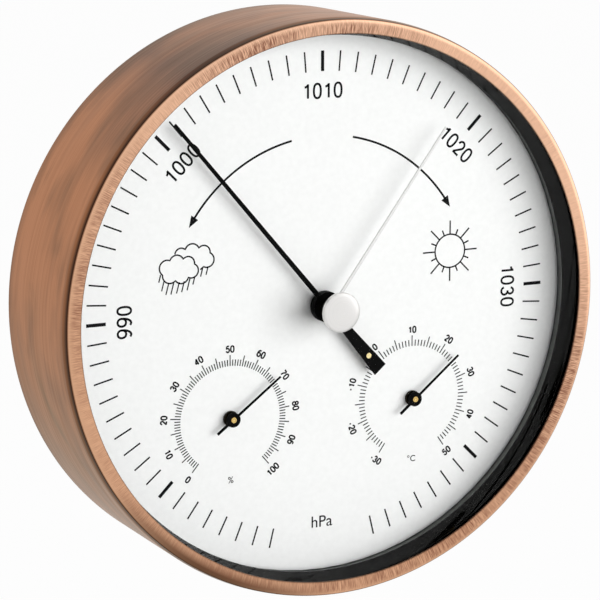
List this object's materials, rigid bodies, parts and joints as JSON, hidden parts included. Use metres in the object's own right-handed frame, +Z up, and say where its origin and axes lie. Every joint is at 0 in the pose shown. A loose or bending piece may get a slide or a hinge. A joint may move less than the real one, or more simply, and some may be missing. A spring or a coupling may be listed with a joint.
{
  "type": "analog weather station",
  "caption": "Round wall-hung weather station in a drawn copper case: glazed white dial with pressure pointer, set pointer on a knob, and small humidity and temperature gauges.",
  "frame": {"origin": "centre of the rear cover's flat back, on the wall plane", "axes": "+Z up, +Y into the wall, the dial faces -Y"},
  "size_m": [0.132, 0.0378, 0.132],
  "materials": {
    "antiqued_copper": "brushed and antiqued, clear lacquer",
    "clear_glass": "polished",
    "gloss_black": "gloss",
    "moulded_black": "fine moulded texture",
    "dial_enamel": "satin white lacquer with black print",
    "carrier_plastic": "moulded",
    "pointer_black": "satin black lacquer",
    "bright_brass": "turned",
    "zinc_steel": "bright zinc",
    "spring_bronze": "rolled",
    "satin_silver": "satin"
  },
  "bodies": {
    "root": {"case_shell": "antiqued_copper", "glass": "clear_glass", "spacer_ring": "gloss_black", "dial": "dial_enamel", "dial_carrier": "carrier_plastic", "rear_cover": "moulded_black", "movement_plate": "zinc_steel", "bridge": "bright_brass", "hairspring": "spring_bronze", "movement_screw_1": "zinc_steel", "movement_screw_2": "zinc_steel", "movement_screw_3": "zinc_steel", "pillar_1": "bright_brass", "pillar_2": "bright_brass", "pillar_3": "bright_brass", "bridge_screw_1": "zinc_steel", "bridge_screw_2": "zinc_steel", "bridge_screw_3": "zinc_steel", "capsule_lower": "spring_bronze", "humidity_plate": "zinc_steel", "humidity_bush": "bright_brass", "humidity_coil": "spring_bronze", "temperature_plate": "zinc_steel", "temperature_bush": "bright_brass", "temperature_coil": "spring_bronze"},
    "pressure_hand": {"pointer_arbor": "zinc_steel", "pointer_bush": "zinc_steel", "pressure_pointer": "pointer_black", "tail_rivet": "bright_brass"},
    "sector": {"sector_gear": "bright_brass", "sector_arbor": "zinc_steel"},
    "rocker": {"rocking_shaft": "zinc_steel"},
    "capsule_top": {"capsule_upper": "spring_bronze", "capsule_stud": "zinc_steel"},
    "set_hand": {"set_pointer": "satin_silver", "set_spindle": "bright_brass", "spring_washer": "spring_bronze", "set_knob": "satin_silver"},
    "humidity_hand": {"humidity_arbor": "bright_brass", "humidity_pointer": "pointer_black"},
    "temperature_hand": {"temperature_arbor": "bright_brass", "temperature_pointer": "pointer_black"},
    "regulator": {"regulating_screw": "bright_brass"}
  },
  "joints": [
    {"name": "pressure_hand_turn", "type": "hinge", "parent": "root", "child": "pressure_hand", "pos_m": [0, 0, 0], "axis": [0, 1, 0], "range_deg": [-126, 207], "stiffness_Nm_per_rad": 0.0003},
    {"name": "sector_turn", "type": "hinge", "parent": "root", "child": "sector", "pos_m": [-0.01414, 0, 0.01414], "axis": [0, 1, 0], "range_deg": [-23.05, 14.05]},
    {"name": "rocker_turn", "type": "hinge", "parent": "root", "child": "rocker", "pos_m": [0, -0.0151, 0.01414], "axis": [1, 0, 0], "range_deg": [-15.75, 9.6]},
    {"name": "capsule_breathe", "type": "slide", "parent": "root", "child": "capsule_top", "axis": [0, 1, 0], "range_m": [-0.0002665, 0.0004379]},
    {"name": "set_hand_turn", "type": "hinge", "parent": "root", "child": "set_hand", "pos_m": [0, 0, 0], "axis": [0, 1, 0], "continuous": true},
    {"name": "humidity_hand_turn", "type": "hinge", "parent": "root", "child": "humidity_hand", "pos_m": [-0.02315, 0, -0.024], "axis": [0, 1, 0], "range_deg": [-193.1, 86.9], "stiffness_Nm_per_rad": 0.00004},
    {"name": "temperature_hand_turn", "type": "hinge", "parent": "root", "child": "temperature_hand", "pos_m": [0.02315, 0, -0.024], "axis": [0, 1, 0], "range_deg": [-195.7, 94.7], "stiffness_Nm_per_rad": 0.00004},
    {"name": "regulating_screw_turn", "type": "hinge", "parent": "root", "child": "regulator", "pos_m": [0.015, 0, 0.01574], "axis": [0, 1, 0], "range_deg": [-360, 360]}
  ],
  "couplings": [
    {"joint": "rocker_turn", "follows": "capsule_breathe", "rad_per_m": -625},
    {"joint": "sector_turn", "follows": "capsule_breathe", "rad_per_m": -916.67},
    {"joint": "pressure_hand_turn", "follows": "capsule_breathe", "rad_per_m": 8250}
  ]
}
